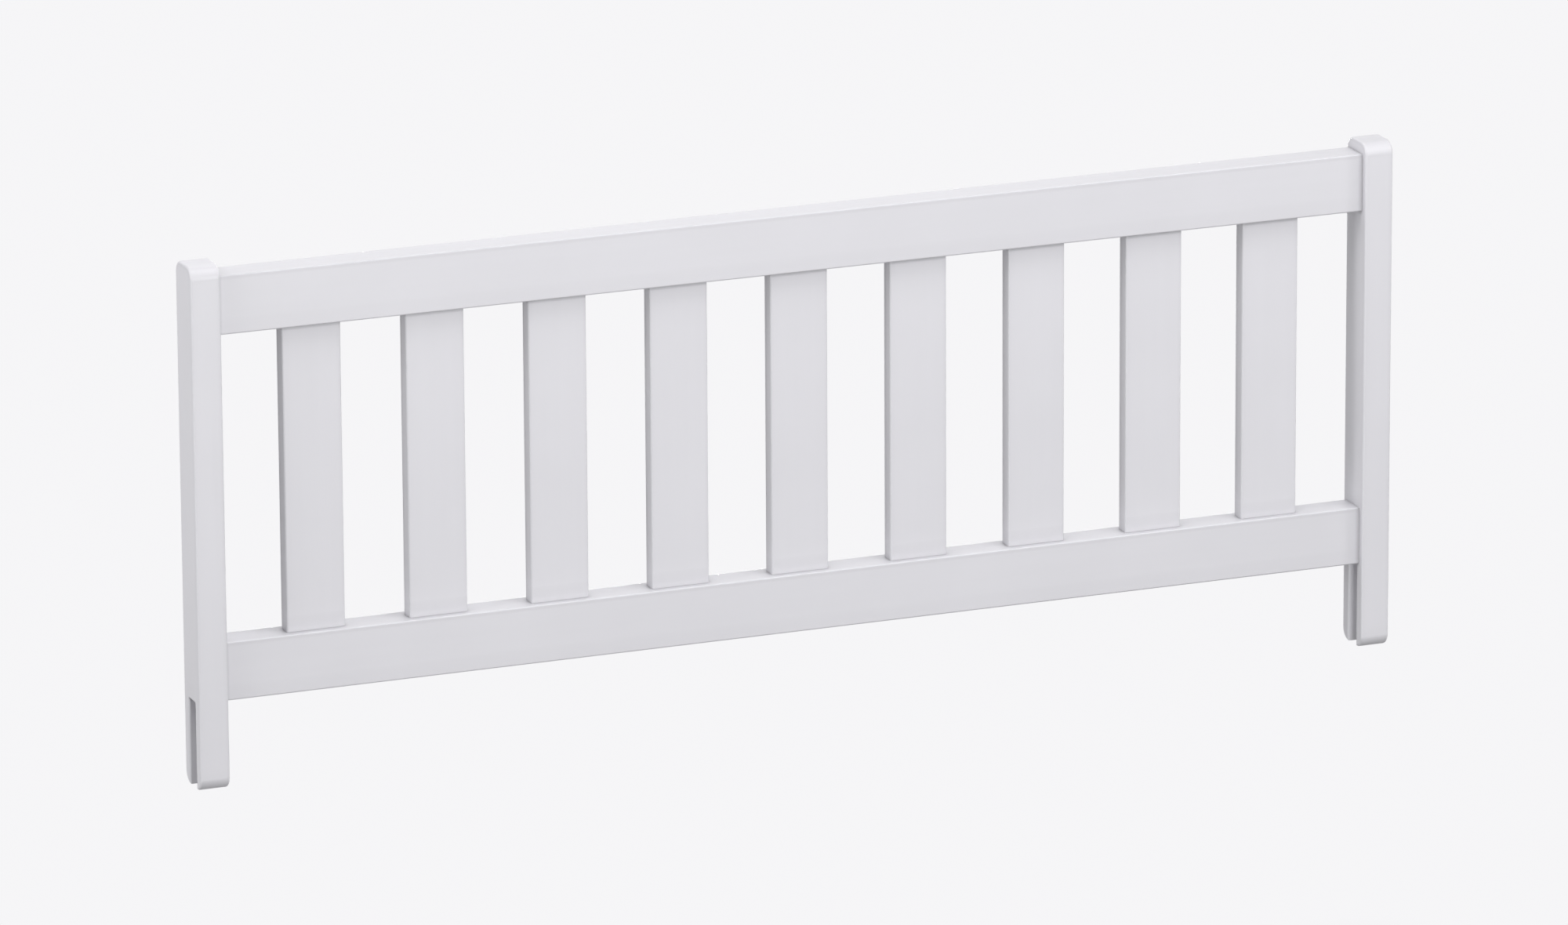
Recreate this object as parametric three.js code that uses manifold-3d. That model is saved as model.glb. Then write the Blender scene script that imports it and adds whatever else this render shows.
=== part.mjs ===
// A wooden guard rail for the open side of a child's bed: two forked posts, two rails and nine flat slats.
// The forks drop over the bed's side board, and the bottom rail then rests on the board's top edge.
// Millimetres. x runs along the guard, the front is -y and z is up. The origin is at mid-length, in the
// middle of the posts' depth, at the height of the board's top edge.
import * as THREE from "three";
import { mergeVertices } from "three/addons/utils/BufferGeometryUtils.js";
import Module from "manifold-3d";

// Whole guard
const LENGTH = 1200;
const SLAT_COUNT = 9;

// Posts
const POST_WIDTH = 28.5;
const POST_DEPTH = 42.5;
const POST_CORNER_RADIUS = 12;
const POST_ARRIS_RADIUS = 2;
const POST_HEAD_RISE = 11; // how far a post's head stands above the top rail
const FORK_DROP = 83; // how far a fork reaches below the seat
const FORK_SLOT = 18;
const FORK_SEAT_RADIUS = 1.5; // the slot's upper corners

// Rails
const RAIL_HEIGHT = 56;
const RAIL_THICKNESS = 31;
const RAIL_RECESS = 7.5; // from the posts' front faces back to the rails' front faces
const RAIL_ARRIS_RADIUS = 1.5;
const CLEAR_HEIGHT = 291.5; // from the bottom rail's top face up to the top rail's underside

// Slats and their stub tenons
const SLAT_WIDTH = 57;
const SLAT_THICKNESS = 16;
const SLAT_ARRIS_RADIUS = 1.75;
const TENON_SHOULDER = 6; // the step in from a slat's side face to its tenon
const TENON_THICKNESS = 9;
const TENON_LENGTH = 14;

// Dowels between rails and posts
const DOWEL_DIAMETER = 10;
const DOWEL_LENGTH = 40;
const DOWEL_IN_POST = 16;
const DOWEL_SPACING = 32;
const DOWEL_CHAMFER = 1;
const DOWEL_FLUTE_DEPTH = 0.4;
const DOWEL_FLUTES = 10;

// Clearances
const GLUE_LINE = 0.1; // between a shoulder or a rail's end and the face it is glued to
const FIT_GAP = 0.3; // round a tenon or a dowel in its hole
const BLIND_ROOM = 1; // past the end of a tenon or a dowel
const OVERRUN = 5; // how far a cutter starts outside the wood

// Steps of the curves
const LARGE_ARC_STEPS = 8;
const SMALL_ARC_STEPS = 4;
const ARRIS_STEPS = 4;
const FLUTE_STEPS = 4;

const QUARTER_TURN = Math.PI / 2;
const FULL_TURN = 4 * QUARTER_TURN;

const wasm = await Module();
wasm.setup();

const lacqueredWood = new THREE.MeshStandardMaterial({ color: 0xf1f1f3, roughness: 0.42, metalness: 0 });
const bareWood = new THREE.MeshStandardMaterial({ color: 0xc9a272, roughness: 0.7, metalness: 0 });

// Places worked out from the sizes
const topRailBase = RAIL_HEIGHT + CLEAR_HEIGHT;
const postTop = topRailBase + RAIL_HEIGHT + POST_HEAD_RISE;
const railSetback = RAIL_RECESS + (RAIL_THICKNESS - POST_DEPTH) / 2; // the rails' middle behind the posts' middle
const railLength = LENGTH - 2 * (POST_WIDTH + GLUE_LINE);
const dowelHeights = [(RAIL_HEIGHT - DOWEL_SPACING) / 2, (RAIL_HEIGHT + DOWEL_SPACING) / 2];
const slatGap = (LENGTH - 2 * POST_WIDTH - SLAT_COUNT * SLAT_WIDTH) / (SLAT_COUNT + 1);
const slatPlaces = Array.from(
  { length: SLAT_COUNT },
  (_, i) => (i - (SLAT_COUNT - 1) / 2) * (SLAT_WIDTH + slatGap),
);

// A closed geometry as a solid that can be joined and cut.
function solid(geometry) {
  const bare = geometry.clone();
  bare.deleteAttribute("normal");
  bare.deleteAttribute("uv");
  const merged = mergeVertices(bare);
  const mesh = new wasm.Mesh({
    numProp: 3,
    vertProperties: new Float32Array(merged.attributes.position.array),
    triVerts: new Uint32Array(merged.index.array),
  });
  return new wasm.Manifold(mesh);
}

// A solid back as a geometry with flat faces.
function geometryOf(body) {
  const mesh = body.getMesh();
  const geometry = new THREE.BufferGeometry();
  geometry.setAttribute("position", new THREE.BufferAttribute(mesh.vertProperties, mesh.numProp));
  geometry.setIndex(new THREE.BufferAttribute(mesh.triVerts, 1));
  const faceted = geometry.toNonIndexed();
  faceted.computeVertexNormals();
  return faceted;
}

function cut(geometry, cutters) {
  const body = cutters.reduce((left, cutter) => left.subtract(solid(cutter)), solid(geometry));
  return geometryOf(body);
}

function join(geometries) {
  const [first, ...others] = geometries.map(solid);
  return geometryOf(others.reduce((whole, other) => whole.add(other), first));
}

function piece(name, geometry, material) {
  const mesh = new THREE.Mesh(geometry, material);
  mesh.name = name;
  return mesh;
}

// The points of an arc of a quarter turn, anticlockwise.
function quarterArc(x, y, radius, quartersAtStart, steps) {
  const start = quartersAtStart * QUARTER_TURN;
  return Array.from({ length: steps + 1 }, (_, i) => {
    const angle = start + (i / steps) * QUARTER_TURN;
    return new THREE.Vector2(x + radius * Math.cos(angle), y + radius * Math.sin(angle));
  });
}

// A rectangle about the origin with its four corners rounded alike.
function roundedRectangle(width, height, radius, steps) {
  const x = width / 2 - radius;
  const y = height / 2 - radius;
  return new THREE.Shape([
    ...quarterArc(x, y, radius, 0, steps),
    ...quarterArc(-x, y, radius, 1, steps),
    ...quarterArc(-x, -y, radius, 2, steps),
    ...quarterArc(x, -y, radius, 3, steps),
  ]);
}

// A straight run of a section from z = 0 up.
function prism(shape, length) {
  return new THREE.ExtrudeGeometry(shape, { depth: length, bevelEnabled: false });
}

// Turns a prism drawn in (y, z) so that it runs along +x.
function alongX(geometry) {
  const turn = new THREE.Matrix4().makeBasis(
    new THREE.Vector3(0, 1, 0),
    new THREE.Vector3(0, 0, 1),
    new THREE.Vector3(1, 0, 0),
  );
  return geometry.applyMatrix4(turn);
}

// A post before it is bored and slotted: its outline in (y, z), with rounded corners and arrises.
function postBlank() {
  const outline = roundedRectangle(POST_DEPTH, postTop + FORK_DROP, POST_CORNER_RADIUS, LARGE_ARC_STEPS);
  const blank = new THREE.ExtrudeGeometry(outline, {
    depth: POST_WIDTH - 2 * POST_ARRIS_RADIUS,
    bevelThickness: POST_ARRIS_RADIUS,
    bevelSize: POST_ARRIS_RADIUS,
    bevelOffset: -POST_ARRIS_RADIUS,
    bevelSegments: ARRIS_STEPS,
  });
  return alongX(blank).translate(POST_ARRIS_RADIUS, 0, (postTop - FORK_DROP) / 2);
}

// The slot that turns a post's foot into a fork: open below, with its two upper corners rounded. It widens
// towards both side faces, which leaves the wood's edges there as round as the post's other arrises.
function forkSlot() {
  const wall = FORK_SLOT / 2;
  const cornerY = wall - FORK_SEAT_RADIUS;
  const open = -FORK_DROP - OVERRUN;
  const outline = new THREE.Shape([
    new THREE.Vector2(-wall, open),
    new THREE.Vector2(wall, open),
    ...quarterArc(cornerY, -FORK_SEAT_RADIUS, FORK_SEAT_RADIUS, 0, SMALL_ARC_STEPS),
    ...quarterArc(-cornerY, -FORK_SEAT_RADIUS, FORK_SEAT_RADIUS, 1, SMALL_ARC_STEPS),
  ]);
  const cutter = new THREE.ExtrudeGeometry(outline, {
    depth: POST_WIDTH - 2 * POST_ARRIS_RADIUS,
    bevelThickness: POST_ARRIS_RADIUS,
    bevelSize: -POST_ARRIS_RADIUS,
    bevelOffset: POST_ARRIS_RADIUS,
    bevelSegments: ARRIS_STEPS,
  });
  return alongX(cutter).translate(POST_ARRIS_RADIUS, 0, 0);
}

// The bore for one dowel, from x = 0 along +x.
function dowelBore(depth, z) {
  const bore = new THREE.CylinderGeometry(
    DOWEL_DIAMETER / 2 + FIT_GAP,
    DOWEL_DIAMETER / 2 + FIT_GAP,
    depth + BLIND_ROOM + OVERRUN,
    DOWEL_FLUTES * FLUTE_STEPS,
  );
  bore.rotateZ(QUARTER_TURN);
  bore.translate((depth + BLIND_ROOM - OVERRUN) / 2, railSetback, z);
  return bore;
}

// A forked post with its inner face at x = 0, standing to that face's right. The left post is its mirror
// image, which keeps the bores in line with rails that aren't in the middle of the posts' depth.
function post(name, side) {
  const bores = [0, topRailBase].flatMap((base) =>
    dowelHeights.map((height) => dowelBore(DOWEL_IN_POST, base + height)),
  );
  const mesh = piece(name, cut(postBlank(), [forkSlot(), ...bores]), lacqueredWood);
  mesh.scale.x = side;
  mesh.position.x = side * (LENGTH / 2 - POST_WIDTH);
  return mesh;
}

// The slot that a router leaves for one tenon, from z = 0 up.
function mortise(x, depth) {
  const opening = roundedRectangle(
    SLAT_WIDTH - 2 * TENON_SHOULDER + 2 * FIT_GAP,
    TENON_THICKNESS + 2 * FIT_GAP,
    TENON_THICKNESS / 2 + FIT_GAP,
    SMALL_ARC_STEPS,
  );
  return prism(opening, depth).translate(x, 0, 0);
}

// A rail centred on x, with its underside at z = 0 and its mortises in its top or bottom face.
function rail(name, mortisesUp) {
  const section = roundedRectangle(RAIL_THICKNESS, RAIL_HEIGHT, RAIL_ARRIS_RADIUS, ARRIS_STEPS);
  const blank = alongX(prism(section, railLength)).translate(-railLength / 2, 0, RAIL_HEIGHT / 2);
  const depth = TENON_LENGTH + BLIND_ROOM;
  const floor = mortisesUp ? RAIL_HEIGHT - depth : -OVERRUN;
  const mortises = slatPlaces.map((x) => mortise(x, depth + OVERRUN).translate(0, 0, floor));
  const inRail = DOWEL_LENGTH - DOWEL_IN_POST - GLUE_LINE;
  const bores = dowelHeights.flatMap((z) => {
    const near = dowelBore(inRail, z).translate(-railLength / 2, -railSetback, 0);
    const far = near.clone().translate(railLength - inRail - BLIND_ROOM + OVERRUN, 0, 0);
    return [near, far];
  });
  return piece(name, cut(blank, [...mortises, ...bores]), lacqueredWood);
}

// A flat slat with a round-ended stub tenon at each end. Its lower shoulder is at z = 0.
function slat(name) {
  const shoulderHeight = CLEAR_HEIGHT - 2 * GLUE_LINE;
  const board = prism(
    roundedRectangle(SLAT_WIDTH, SLAT_THICKNESS, SLAT_ARRIS_RADIUS, ARRIS_STEPS),
    shoulderHeight,
  );
  const tongue = prism(
    roundedRectangle(
      SLAT_WIDTH - 2 * TENON_SHOULDER,
      TENON_THICKNESS,
      TENON_THICKNESS / 2,
      SMALL_ARC_STEPS,
    ),
    shoulderHeight + 2 * TENON_LENGTH,
  );
  tongue.translate(0, 0, -TENON_LENGTH);
  return piece(name, join([board, tongue]), lacqueredWood);
}

// A fluted dowel about the origin along x, with chamfered ends.
function dowel(name) {
  const steps = DOWEL_FLUTES * FLUTE_STEPS;
  const outline = Array.from({ length: steps }, (_, i) => {
    const angle = (i / steps) * FULL_TURN;
    const dip = (DOWEL_FLUTE_DEPTH / 2) * (1 - Math.cos(DOWEL_FLUTES * angle));
    const radius = DOWEL_DIAMETER / 2 - dip;
    return new THREE.Vector2(radius * Math.cos(angle), radius * Math.sin(angle));
  });
  const pin = new THREE.ExtrudeGeometry(new THREE.Shape(outline), {
    depth: DOWEL_LENGTH - 2 * DOWEL_CHAMFER,
    bevelThickness: DOWEL_CHAMFER,
    bevelSize: DOWEL_CHAMFER,
    bevelOffset: -DOWEL_CHAMFER,
    bevelSegments: 1,
  });
  return piece(name, alongX(pin).translate(DOWEL_CHAMFER - DOWEL_LENGTH / 2, 0, 0), bareWood);
}

// The two dowels that tie each end of a rail to its post.
function dowelsOf(railName) {
  const place = LENGTH / 2 - POST_WIDTH + DOWEL_IN_POST - DOWEL_LENGTH / 2;
  return [-1, 1].flatMap((side) =>
    dowelHeights.map((height, row) => {
      const end = side < 0 ? "left" : "right";
      const mesh = dowel(`${railName}_${end}_dowel_${row ? "upper" : "lower"}`);
      mesh.position.set(side * place, 0, height);
      return mesh;
    }),
  );
}

// The rails with their slats and dowels, centred on the rails' own thickness.
function infill() {
  const group = new THREE.Group();
  const slats = slatPlaces.map((x, i) => {
    const mesh = slat(`slat_${i + 1}`);
    mesh.position.set(x, 0, RAIL_HEIGHT + GLUE_LINE);
    return mesh;
  });
  group.add(rail("bottom_rail", true), ...dowelsOf("bottom_rail"), ...slats);
  const upper = new THREE.Group();
  upper.add(rail("top_rail", false), ...dowelsOf("top_rail"));
  upper.position.z = topRailBase;
  group.add(upper);
  group.position.y = railSetback;
  return group;
}

const guard = new THREE.Group();
guard.add(post("left_post", -1), post("right_post", 1), infill());

export default guard;
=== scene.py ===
# Looks of the bed guard rail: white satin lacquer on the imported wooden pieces, a pale studio and the camera.
# Metres, watts and linear colours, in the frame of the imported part.
import math

import bpy
from mathutils import Matrix, Vector


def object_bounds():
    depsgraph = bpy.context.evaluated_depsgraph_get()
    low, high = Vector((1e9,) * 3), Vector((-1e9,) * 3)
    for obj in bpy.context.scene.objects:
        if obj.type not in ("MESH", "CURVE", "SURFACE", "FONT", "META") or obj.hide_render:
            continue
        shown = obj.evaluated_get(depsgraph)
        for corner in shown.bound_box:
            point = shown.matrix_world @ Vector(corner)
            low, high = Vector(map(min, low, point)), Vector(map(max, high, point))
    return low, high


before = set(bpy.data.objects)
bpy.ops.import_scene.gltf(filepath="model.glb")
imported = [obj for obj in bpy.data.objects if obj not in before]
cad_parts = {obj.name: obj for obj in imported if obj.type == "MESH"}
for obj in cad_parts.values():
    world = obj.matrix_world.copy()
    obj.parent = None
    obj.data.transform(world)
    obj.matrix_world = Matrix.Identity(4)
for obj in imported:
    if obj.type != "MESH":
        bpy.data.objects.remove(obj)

cad_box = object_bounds()

# Smooth shading: edges sharper than CREASE stay creases, once points nearer than WELD are one point
CREASE = math.radians(32)
WELD = 1e-6
FLAT_FACE_WEIGHT = 100

# Lacquer. The grain runs along a piece, where its noise is drawn out by GRAIN_STRETCH.
LACQUER = (0.712, 0.705, 0.740)
GRAIN_STRETCH = 0.035
LACQUER_BUMP = 0.0004
CLOUD_TONE = (0.985, 1.01)
STREAK_TONE = (0.994, 1.003)
LACQUER_ROUGHNESS = (0.36, 0.46)

# Painted shade: the lacquer's colour is darkened close above a ledge and right under one, where shade falls.
# Each has the slope by which a face's normal is turned towards the ledge, how far it reaches and its least
# tone.
SHADE_PAINTED_ABOVE_LEDGE = (-0.9, 0.016, 0.82)
SHADE_PAINTED_UNDER_LEDGE = (0.9, 0.0045, 0.5)
PAINTED_SHADE_SAMPLES = 6

# Bare wood of the dowels
WOOD_DARK = (0.42, 0.24, 0.11)
WOOD_LIGHT = (0.62, 0.41, 0.22)
FIBRE_STRETCH = 0.06
FIBRE_BUMP = 0.0003

# Most of a noise lies between these
NOISE_RANGE = (0.3, 0.7)

# Studio. The floor lies as far below the feet as under the side board of a bed.
BACKDROP = (0.921, 0.917, 0.931)
SHADOWED_FLOOR = (0.82, 0.82, 0.83)
FLOOR_AWAY_FROM_VIEW = (0.04, 0.04, 0.04)
FLOOR_Z = -0.42
FLOOR_HALF = 60.0
WORLD_STRENGTH = 0.25
LAMP_AIM = Vector((0, 0, 0.17))

# The floor keeps the guard's shadow up to SHADOW_NEAR, and past SHADOW_FAR it is plain backdrop
SHADOW_NEAR = 0.04
SHADOW_FAR = 0.18
LEAST_BACKDROP_SHARE = 0.4

# Camera, in degrees round the frame's origin, and how far the view is moved across and up
CAMERA_AZIMUTH = -21.851
CAMERA_ELEVATION = 15.877
CAMERA_ROLL = -0.311
CAMERA_DISTANCE = 10.285
CAMERA_ACROSS = 0.01325
CAMERA_ABOVE = -0.15435
CAMERA_SENSOR_MM = 36
CAMERA_LENS_MM = 252
CAMERA_REACH = 200


# Node helpers
def emptied(owner):
    """The node tree of a material or world, with nothing in it."""
    owner.use_nodes = True
    owner.node_tree.nodes.clear()
    return owner.node_tree


def add(tree, kind, **values):
    """A new node whose named sockets or settings have these values."""
    node = tree.nodes.new(kind)
    for key, value in values.items():
        if key in node.inputs.keys():
            node.inputs[key].default_value = value
        else:
            setattr(node, key, value)
    return node


def noise(tree, place, scale, detail, roughness):
    node = add(tree, "ShaderNodeTexNoise", Scale=scale, Detail=detail, Roughness=roughness)
    tree.links.new(place, node.inputs["Vector"])
    return node.outputs["Fac"]


def stretched(tree, place, scale):
    node = add(tree, "ShaderNodeMapping", Scale=scale)
    tree.links.new(place, node.inputs["Vector"])
    return node.outputs["Vector"]


def mapped(tree, value, source, target, **settings):
    """A value mapped from the range source to the range target."""
    node = add(tree, "ShaderNodeMapRange", **settings)
    for socket, number in zip(("From Min", "From Max", "To Min", "To Max"), (*source, *target)):
        node.inputs[socket].default_value = number
    tree.links.new(value, node.inputs["Value"])
    return node.outputs["Result"]


def calculated(tree, operation, first, second=0.0):
    """One step of arithmetic on a socket and another socket or a number."""
    node = add(tree, "ShaderNodeMath", operation=operation)
    tree.links.new(first, node.inputs[0])
    if isinstance(second, float):
        node.inputs[1].default_value = second
    else:
        tree.links.new(second, node.inputs[1])
    return node.outputs["Value"]


def bumped(tree, height, strength, distance, under=None):
    node = add(tree, "ShaderNodeBump", Strength=strength, Distance=distance)
    tree.links.new(height, node.inputs["Height"])
    if under:
        tree.links.new(under, node.inputs["Normal"])
    return node.outputs["Normal"]


def mixed(tree, share, first, second):
    """The first shader where share is zero and the second where it is one."""
    node = add(tree, "ShaderNodeMixShader")
    tree.links.new(share, node.inputs["Fac"])
    tree.links.new(first, node.inputs[1])
    tree.links.new(second, node.inputs[2])
    return node.outputs["Shader"]


def finish_tree(tree, shader, kind="ShaderNodeOutputMaterial"):
    out = add(tree, kind)
    tree.links.new(shader, out.inputs["Surface"])


# Materials
def painted_corner_shade(tree, slope, reach, least):
    """Painted shade from ambient occlusion: down to least where a ledge shuts a face in from below or, with a
    rising slope, from above.
    """
    face = add(tree, "ShaderNodeNewGeometry").outputs["Normal"]
    lean = add(tree, "ShaderNodeVectorMath", operation="ADD")
    tree.links.new(face, lean.inputs[0])
    lean.inputs[1].default_value = (0, 0, slope)
    unit = add(tree, "ShaderNodeVectorMath", operation="NORMALIZE")
    tree.links.new(lean.outputs["Vector"], unit.inputs[0])
    occlusion = add(tree, "ShaderNodeAmbientOcclusion", samples=PAINTED_SHADE_SAMPLES, Distance=reach)
    tree.links.new(unit.outputs["Vector"], occlusion.inputs["Normal"])
    return mapped(tree, occlusion.outputs["AO"], (0.0, 1.0), (least, 1.0))


def lacquer_material(name, grain_axis):
    """Satin white lacquer over wood whose grain runs along one axis, with painted shade near the ledges."""
    material = bpy.data.materials.new(name)
    tree = emptied(material)
    link = tree.links.new
    place = add(tree, "ShaderNodeTexCoord").outputs["Object"]
    along = stretched(tree, place, [GRAIN_STRETCH if axis == grain_axis else 1.0 for axis in range(3)])
    grain = noise(tree, along, scale=900.0, detail=3.0, roughness=0.55)
    bands = noise(tree, along, scale=120.0, detail=2.0, roughness=0.5)
    skin = noise(tree, place, scale=650.0, detail=1.0, roughness=0.4)
    cloud = noise(tree, place, scale=9.0, detail=2.0, roughness=0.5)

    tone = mapped(tree, cloud, NOISE_RANGE, CLOUD_TONE)
    streak = mapped(tree, bands, NOISE_RANGE, STREAK_TONE)
    colour = add(tree, "ShaderNodeVectorMath", operation="SCALE")
    colour.inputs[0].default_value = LACQUER
    scale = calculated(tree, "MULTIPLY", tone, streak)
    # Painted shade close above and under the ledges, multiplied into the lacquer's colour
    for ledge in (SHADE_PAINTED_ABOVE_LEDGE, SHADE_PAINTED_UNDER_LEDGE):
        scale = calculated(tree, "MULTIPLY", scale, painted_corner_shade(tree, *ledge))
    link(scale, colour.inputs["Scale"])
    relief = bumped(tree, grain, strength=0.06, distance=LACQUER_BUMP)
    relief = bumped(tree, skin, strength=0.06, distance=LACQUER_BUMP, under=relief)

    shader = add(tree, "ShaderNodeBsdfPrincipled", IOR=1.5)
    link(colour.outputs["Vector"], shader.inputs["Base Color"])
    link(mapped(tree, grain, NOISE_RANGE, LACQUER_ROUGHNESS), shader.inputs["Roughness"])
    link(relief, shader.inputs["Normal"])
    finish_tree(tree, shader.outputs["BSDF"])
    return material


def bare_wood_material(name):
    """Bare wood with its grain along x, for the dowels inside the joints."""
    material = bpy.data.materials.new(name)
    tree = emptied(material)
    link = tree.links.new
    place = add(tree, "ShaderNodeTexCoord").outputs["Object"]
    along = stretched(tree, place, (FIBRE_STRETCH, 1.0, 1.0))
    fibre = noise(tree, along, scale=900.0, detail=4.0, roughness=0.6)
    ramp = add(tree, "ShaderNodeValToRGB")
    for element, position, colour in zip(ramp.color_ramp.elements, (0.35, 0.68), (WOOD_DARK, WOOD_LIGHT)):
        element.position = position
        element.color = (*colour, 1)
    link(fibre, ramp.inputs["Fac"])
    shader = add(tree, "ShaderNodeBsdfPrincipled", Roughness=0.7)
    link(ramp.outputs["Color"], shader.inputs["Base Color"])
    link(bumped(tree, fibre, strength=0.3, distance=FIBRE_BUMP), shader.inputs["Normal"])
    finish_tree(tree, shader.outputs["BSDF"])
    return material


# The object
def smoothing_group():
    """Modifier that shades curved faces smooth and leaves edges sharper than CREASE as they are."""
    group = bpy.data.node_groups.new("smooth_by_angle", "GeometryNodeTree")
    group.interface.new_socket("Geometry", in_out="INPUT", socket_type="NodeSocketGeometry")
    group.interface.new_socket("Geometry", in_out="OUTPUT", socket_type="NodeSocketGeometry")
    link = group.links.new
    source = add(group, "NodeGroupInput")
    weld = add(group, "GeometryNodeMergeByDistance", Distance=WELD)
    link(source.outputs["Geometry"], weld.inputs["Geometry"])
    strip = add(group, "GeometryNodeRemoveAttribute", Name="custom_normal")
    link(weld.outputs["Geometry"], strip.inputs["Geometry"])
    faces = add(group, "GeometryNodeSetShadeSmooth", domain="FACE")
    faces.inputs["Shade Smooth"].default_value = True
    link(strip.outputs["Geometry"], faces.inputs["Geometry"])
    angle = add(group, "GeometryNodeInputMeshEdgeAngle")
    shallow = add(group, "FunctionNodeCompare", operation="LESS_EQUAL")
    shallow.inputs["B"].default_value = CREASE
    link(angle.outputs["Unsigned Angle"], shallow.inputs["A"])
    edges = add(group, "GeometryNodeSetShadeSmooth", domain="EDGE")
    link(faces.outputs["Geometry"], edges.inputs["Geometry"])
    link(shallow.outputs["Result"], edges.inputs["Shade Smooth"])
    target = add(group, "NodeGroupOutput")
    link(edges.outputs["Geometry"], target.inputs["Geometry"])
    return group


def dress_nodes():
    """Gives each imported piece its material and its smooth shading."""
    along_x = lacquer_material("white_lacquer_along_x", grain_axis=0)
    along_z = lacquer_material("white_lacquer_along_z", grain_axis=2)
    bare = bare_wood_material("bare_dowel_wood")
    smoothing = smoothing_group()
    for name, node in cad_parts.items():
        if "dowel" in name:
            material = bare
        elif "rail" in name:
            material = along_x
        else:
            material = along_z
        node.material_slots[0].material = material
        shade = node.modifiers.new("smooth by angle", "NODES")
        shade.node_group = smoothing
        weigh = node.modifiers.new("flat faces stay flat", "WEIGHTED_NORMAL")
        weigh.keep_sharp = True
        weigh.weight = FLAT_FACE_WEIGHT


# The studio
def backdrop_seen(tree):
    """One for camera, glossy and transmission rays, which see the backdrop, and zero for the rest."""
    ray = add(tree, "ShaderNodeLightPath").outputs
    seen = calculated(tree, "MAXIMUM", ray["Is Camera Ray"], ray["Is Glossy Ray"])
    return calculated(tree, "MAXIMUM", seen, ray["Is Transmission Ray"])


def guard_distance(tree):
    """How far a point of the floor lies from the line under the guard."""
    point = add(tree, "ShaderNodeNewGeometry")
    parts = add(tree, "ShaderNodeSeparateXYZ")
    tree.links.new(point.outputs["Position"], parts.inputs["Vector"])
    half_length = cad_box[1][0]
    past_end = calculated(tree, "SUBTRACT", calculated(tree, "ABSOLUTE", parts.outputs["X"]), half_length)
    offset = add(tree, "ShaderNodeCombineXYZ")
    tree.links.new(calculated(tree, "MAXIMUM", past_end), offset.inputs["X"])
    tree.links.new(parts.outputs["Y"], offset.inputs["Y"])
    length = add(tree, "ShaderNodeVectorMath", operation="LENGTH")
    tree.links.new(offset.outputs["Vector"], length.inputs[0])
    return length.outputs["Value"]


def studio_floor():
    mesh = bpy.data.meshes.new("floor")
    corners = [(x * FLOOR_HALF, y * FLOOR_HALF, FLOOR_Z) for x, y in ((-1, -1), (1, -1), (1, 1), (-1, 1))]
    mesh.from_pydata(corners, [], [(0, 1, 2, 3)])
    floor = bpy.data.objects.new("floor", mesh)
    bpy.context.scene.collection.objects.link(floor)
    material = bpy.data.materials.new("floor")
    tree = emptied(material)
    backdrop = add(tree, "ShaderNodeEmission", Color=(*BACKDROP, 1), Strength=1.0)
    shadowed = add(tree, "ShaderNodeBsdfDiffuse", Color=(*SHADOWED_FLOOR, 1))
    unseen = add(tree, "ShaderNodeBsdfDiffuse", Color=(*FLOOR_AWAY_FROM_VIEW, 1))
    fade = mapped(
        tree,
        guard_distance(tree),
        (SHADOW_NEAR, SHADOW_FAR),
        (LEAST_BACKDROP_SHARE, 1.0),
        interpolation_type="SMOOTHSTEP",
    )
    shown = mixed(tree, fade, shadowed.outputs["BSDF"], backdrop.outputs["Emission"])
    finish_tree(tree, mixed(tree, backdrop_seen(tree), unseen.outputs["BSDF"], shown))
    mesh.materials.append(material)


def studio_world():
    world = bpy.data.worlds.new("studio")
    bpy.context.scene.world = world
    tree = emptied(world)
    backdrop = add(tree, "ShaderNodeBackground", Color=(*BACKDROP, 1), Strength=1.0)
    dome = add(tree, "ShaderNodeBackground", Color=(1, 1, 1, 1), Strength=WORLD_STRENGTH)
    shader = mixed(tree, backdrop_seen(tree), dome.outputs["Background"], backdrop.outputs["Background"])
    finish_tree(tree, shader, kind="ShaderNodeOutputWorld")


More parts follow.
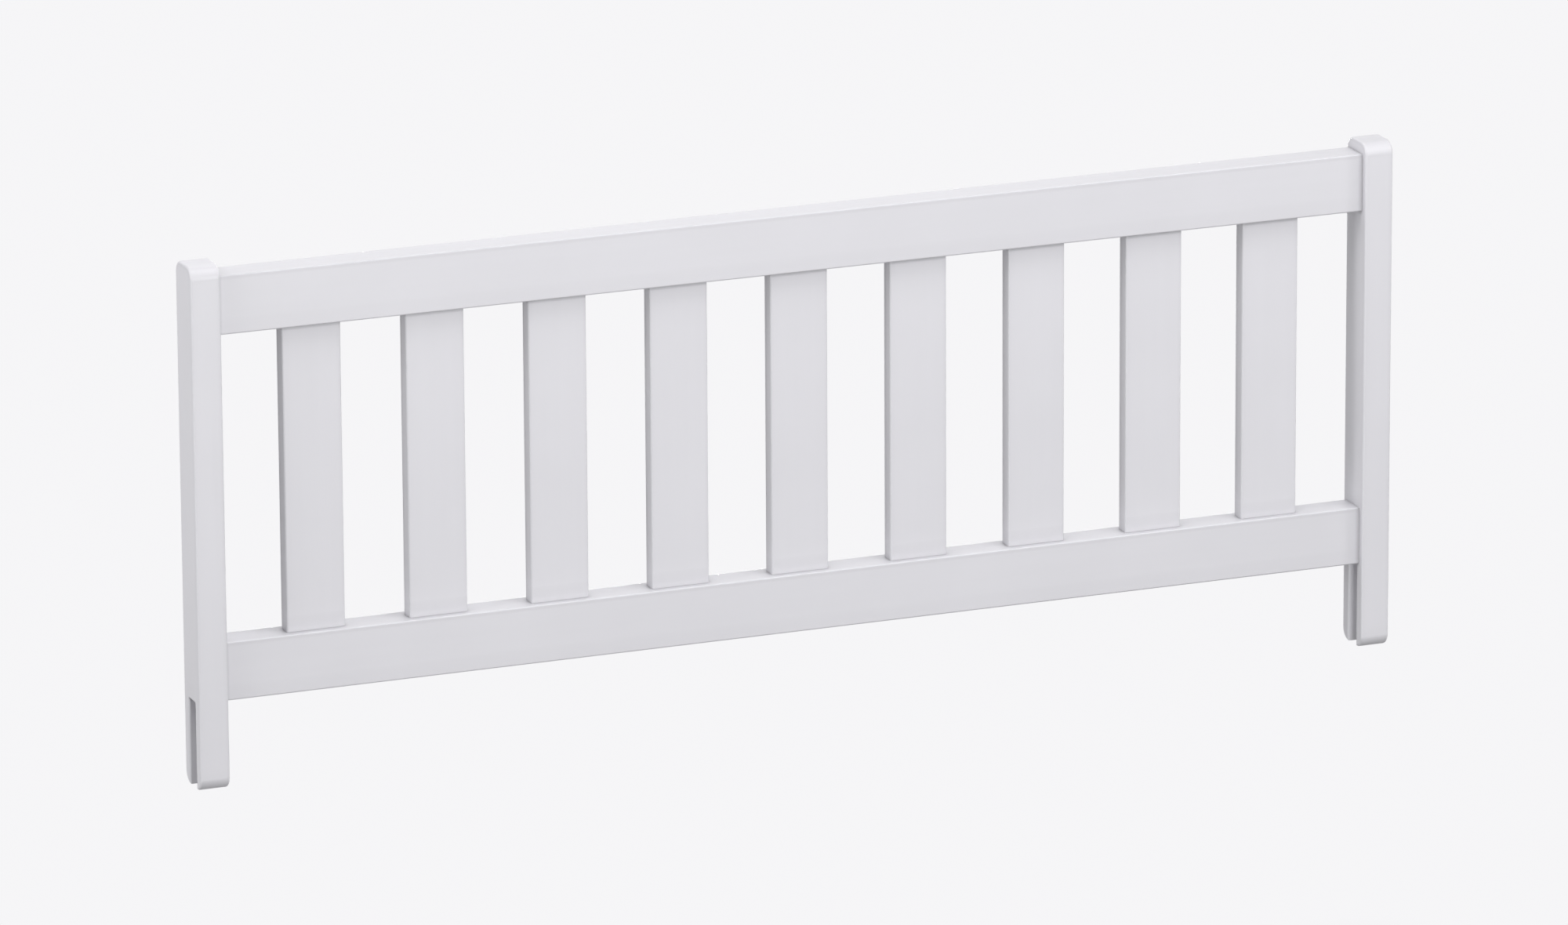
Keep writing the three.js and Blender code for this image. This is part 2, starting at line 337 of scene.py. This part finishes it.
def softbox(name, place, size, power):
    """A rectangular lamp that faces the guard."""
    light = bpy.data.lights.new(name, "AREA")
    light.shape = "RECTANGLE"
    light.size, light.size_y = size
    light.energy = power
    lamp = bpy.data.objects.new(name, light)
    bpy.context.scene.collection.objects.link(lamp)
    lamp.location = place
    lamp.rotation_mode = "QUATERNION"
    lamp.rotation_quaternion = (LAMP_AIM - Vector(place)).to_track_quat("-Z", "Y")


def studio_lamps():
    softbox("overhead", place=(0, -0.7, 2.4), size=(2.4, 0.8), power=21.6)
    softbox("overhead rear", place=(0, 1.3, 1.7), size=(2.4, 1.4), power=12.7)
    softbox("key", place=(1.5, -1.6, 1.6), size=(1.4, 1.2), power=14.1)
    softbox("front", place=(0, -3.0, 0.3), size=(0.8, 0.8), power=38.3)
    softbox("front low", place=(-1.6, -2.8, -0.1), size=(1.0, 0.4), power=9.3)
    softbox("left", place=(-3.0, -0.75, 0.4), size=(0.6, 1.0), power=12.4)
    softbox("left far", place=(-5.5, -0.4, 0.5), size=(1.0, 1.6), power=51)
    softbox("left high", place=(-2.2, 0, 1.6), size=(0.8, 1.2), power=12.2)
    softbox("right", place=(3.0, -1.2, 0.6), size=(0.6, 1.0), power=16)
    softbox("rear", place=(1.1, 3.4, -0.15), size=(1.6, 0.3), power=70)


# The camera
def photo_camera():
    azimuth, elevation, roll = (math.radians(a) for a in (CAMERA_AZIMUTH, CAMERA_ELEVATION, CAMERA_ROLL))
    flat = math.cos(elevation)
    back = Vector((math.sin(azimuth) * flat, -math.cos(azimuth) * flat, math.sin(elevation)))
    level = Vector((math.cos(azimuth), math.sin(azimuth), 0))
    upright = back.cross(level)
    right = level * math.cos(roll) + upright * math.sin(roll)
    up = upright * math.cos(roll) - level * math.sin(roll)
    data = bpy.data.cameras.new("camera")
    data.sensor_width = CAMERA_SENSOR_MM
    data.lens = CAMERA_LENS_MM
    data.clip_end = CAMERA_REACH
    camera = bpy.data.objects.new("camera", data)
    bpy.context.scene.collection.objects.link(camera)
    place = CAMERA_DISTANCE * back - CAMERA_ACROSS * right - CAMERA_ABOVE * up
    camera.matrix_world = Matrix.Translation(place) @ Matrix((right, up, back)).transposed().to_4x4()
    bpy.context.scene.camera = camera


dress_nodes()
studio_floor()
studio_world()
studio_lamps()
photo_camera()
bpy.context.scene.view_settings.view_transform = "Standard"
